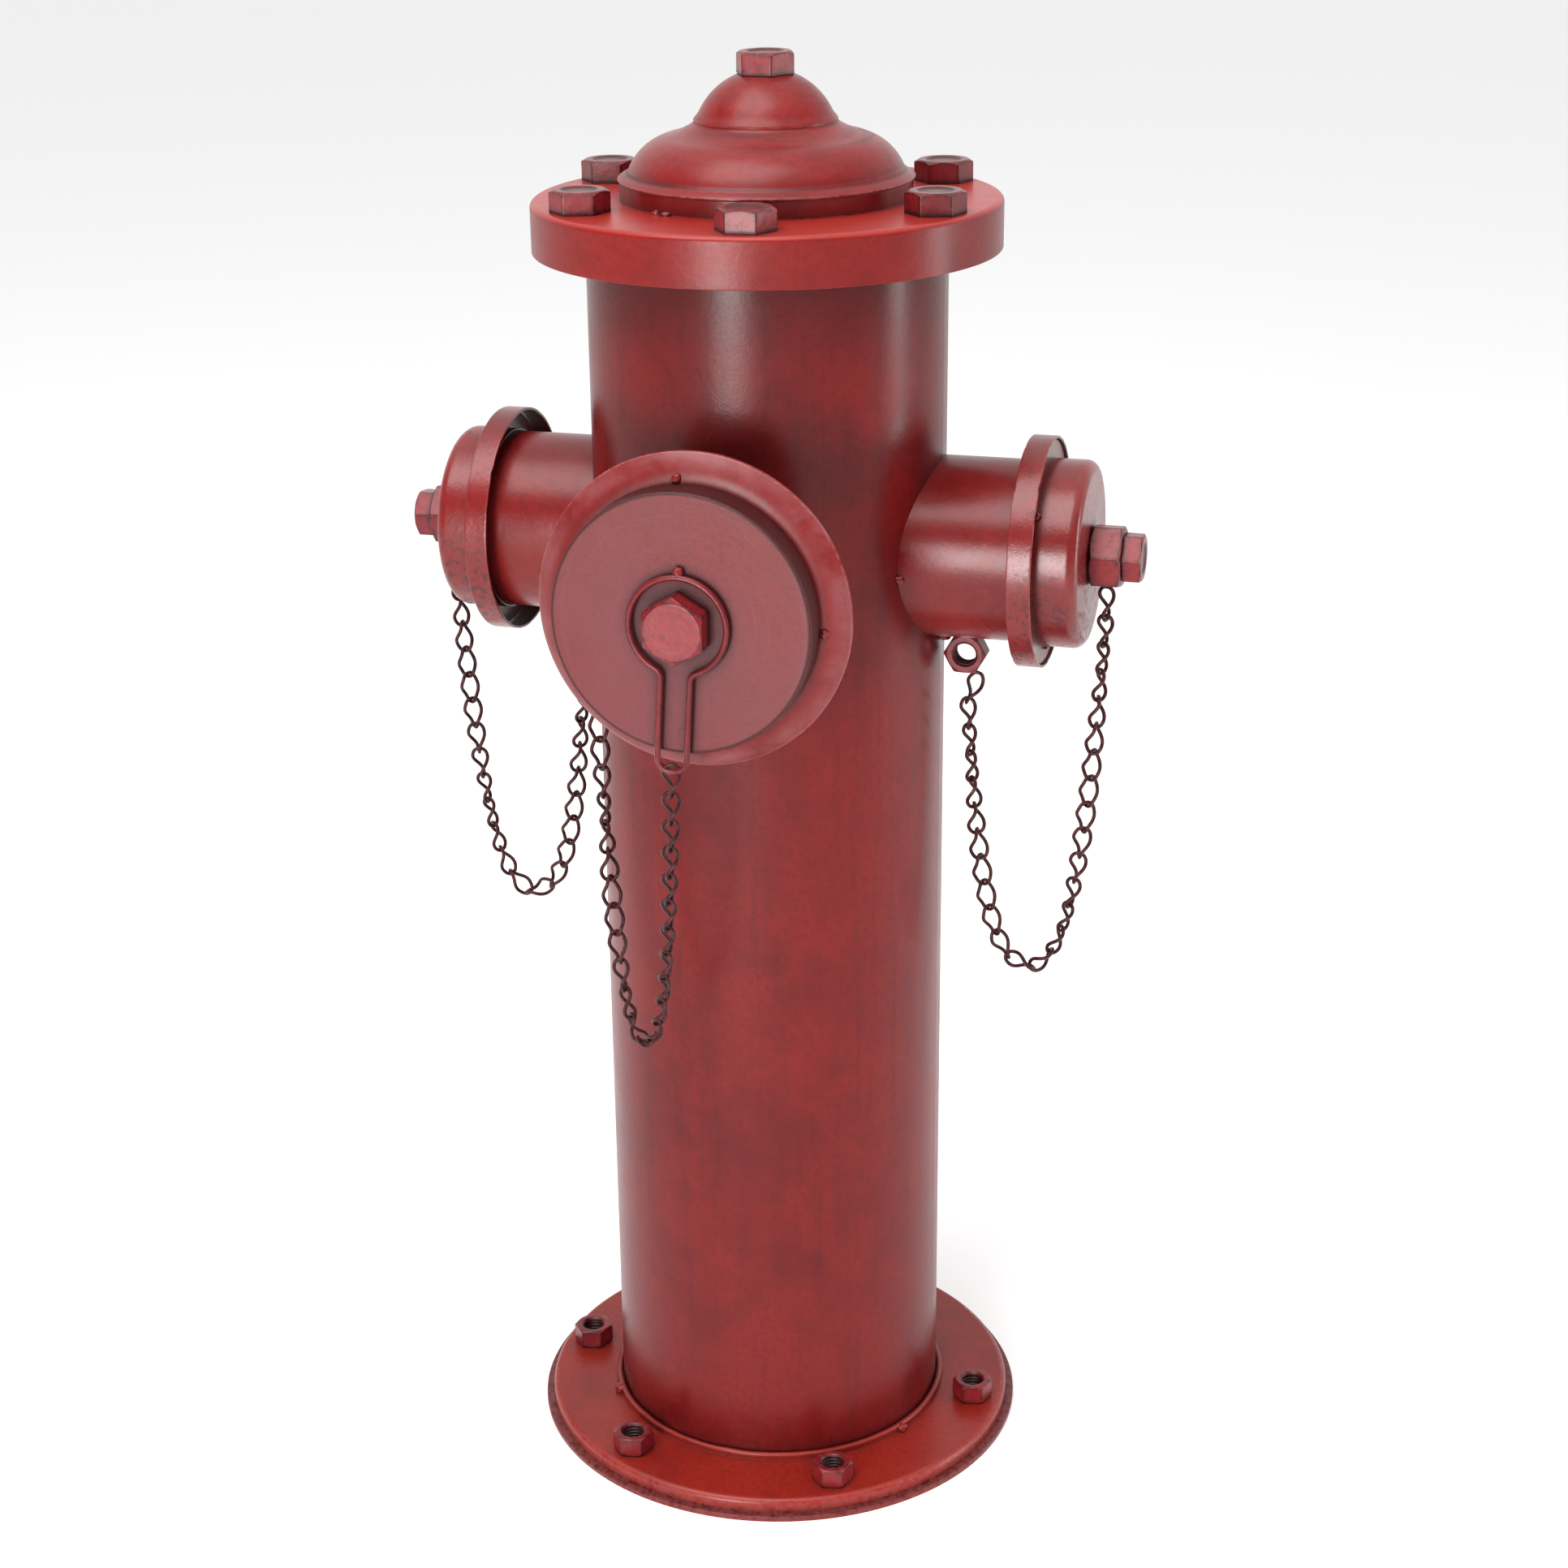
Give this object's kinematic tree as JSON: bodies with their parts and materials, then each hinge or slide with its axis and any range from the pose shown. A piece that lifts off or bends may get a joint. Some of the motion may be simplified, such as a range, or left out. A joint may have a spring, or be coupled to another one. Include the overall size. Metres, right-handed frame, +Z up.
{
  "type": "fire hydrant",
  "caption": "Decorative fire hydrant: sheet-steel barrel on a round base, flanged bell bonnet, a wide front nozzle and small side nozzles with bolted caps on hanging chains.",
  "frame": {"origin": "centre of the base's underside, on the barrel's axis", "axes": "+Z up along the barrel, -Y out of the large front nozzle, +X out of the right side nozzle"},
  "size_m": [0.353, 0.2801, 0.6888],
  "materials": {
    "red_paint": "antiqued satin paint",
    "dark_red_fastener": "satin paint, dark in the edges",
    "dark_chain": "dark overpainted steel",
    "inner_steel": "dull dark primer"
  },
  "bodies": {
    "root": {"base_plate": "red_paint", "base_flange": "red_paint", "foot_ring": "red_paint", "base_nuts": "dark_red_fastener", "barrel": "red_paint", "flange_pan": "red_paint", "flange_underplate": "red_paint", "flange_bolts": "dark_red_fastener", "bonnet_seat": "red_paint", "bonnet": "red_paint", "top_bolt_nut": "inner_steel", "front_pipe": "red_paint", "front_crossbar": "inner_steel", "front_crossbar_nut": "inner_steel", "front_cap_dish": "red_paint", "front_cap_drum": "red_paint", "front_clip": "dark_red_fastener", "front_anchor_nut": "dark_red_fastener", "front_anchor_link": "dark_chain", "right_pipe": "red_paint", "right_crossbar": "inner_steel", "right_crossbar_nut": "inner_steel", "right_cap_spacer_nut": "dark_red_fastener", "right_cap_link": "dark_chain", "right_anchor_nut": "dark_red_fastener", "right_anchor_link": "dark_chain", "left_pipe": "red_paint", "left_crossbar": "inner_steel", "left_crossbar_nut": "inner_steel", "left_cap_spacer_nut": "dark_red_fastener", "left_cap_link": "dark_chain", "left_anchor_nut": "dark_red_fastener", "left_anchor_link": "dark_chain"},
    "top_bolt": {"top_bolt": "dark_red_fastener"},
    "front_bolt": {"front_bolt": "dark_red_fastener"},
    "front_chain": {"front_chain": "dark_chain"},
    "right_cap": {"right_cap_band": "red_paint", "right_cap_disc": "red_paint", "right_cap_drum": "red_paint"},
    "right_bolt": {"right_cap_bolt": "dark_red_fastener"},
    "right_chain": {"right_chain": "dark_chain"},
    "left_cap": {"left_cap_band": "red_paint", "left_cap_disc": "red_paint", "left_cap_drum": "red_paint"},
    "left_bolt": {"left_cap_bolt": "dark_red_fastener"},
    "left_chain": {"left_chain": "dark_chain"}
  },
  "joints": [
    {"name": "top_bolt_turn", "type": "hinge", "parent": "root", "child": "top_bolt", "pos_m": [0, 0, 0.68], "axis": [0, 0, 1], "continuous": true},
    {"name": "front_bolt_turn", "type": "hinge", "parent": "root", "child": "front_bolt", "pos_m": [0, -0.145, 0.467], "axis": [0, -1, 0], "continuous": true},
    {"name": "right_cap_turn", "type": "hinge", "parent": "root", "child": "right_cap", "pos_m": [0.1525, 0, 0.467], "axis": [1, 0, 0], "continuous": true},
    {"name": "right_bolt_turn", "type": "hinge", "parent": "root", "child": "right_bolt", "pos_m": [0.1677, 0, 0.467], "axis": [1, 0, 0], "continuous": true},
    {"name": "right_chain_swing", "type": "hinge", "parent": "root", "child": "right_chain", "pos_m": [0.16, 0, 0.43765], "axis": [-0.8161, 0, -0.578], "range_deg": [-30, 30]},
    {"name": "left_cap_turn", "type": "hinge", "parent": "root", "child": "left_cap", "pos_m": [-0.1525, 0, 0.467], "axis": [-1, 0, 0], "continuous": true},
    {"name": "left_bolt_turn", "type": "hinge", "parent": "root", "child": "left_bolt", "pos_m": [-0.1677, 0, 0.467], "axis": [-1, 0, 0], "continuous": true},
    {"name": "left_chain_swing", "type": "hinge", "parent": "root", "child": "left_chain", "pos_m": [-0.16, 0, 0.43765], "axis": [-0.8161, 0, 0.578], "range_deg": [-30, 30]},
    {"name": "front_chain_swing", "type": "hinge", "parent": "root", "child": "front_chain", "pos_m": [-0.00404, -0.148, 0.40337], "axis": [-0.6921, 0.7211, 0.0322], "range_deg": [-8, 30]}
  ]
}
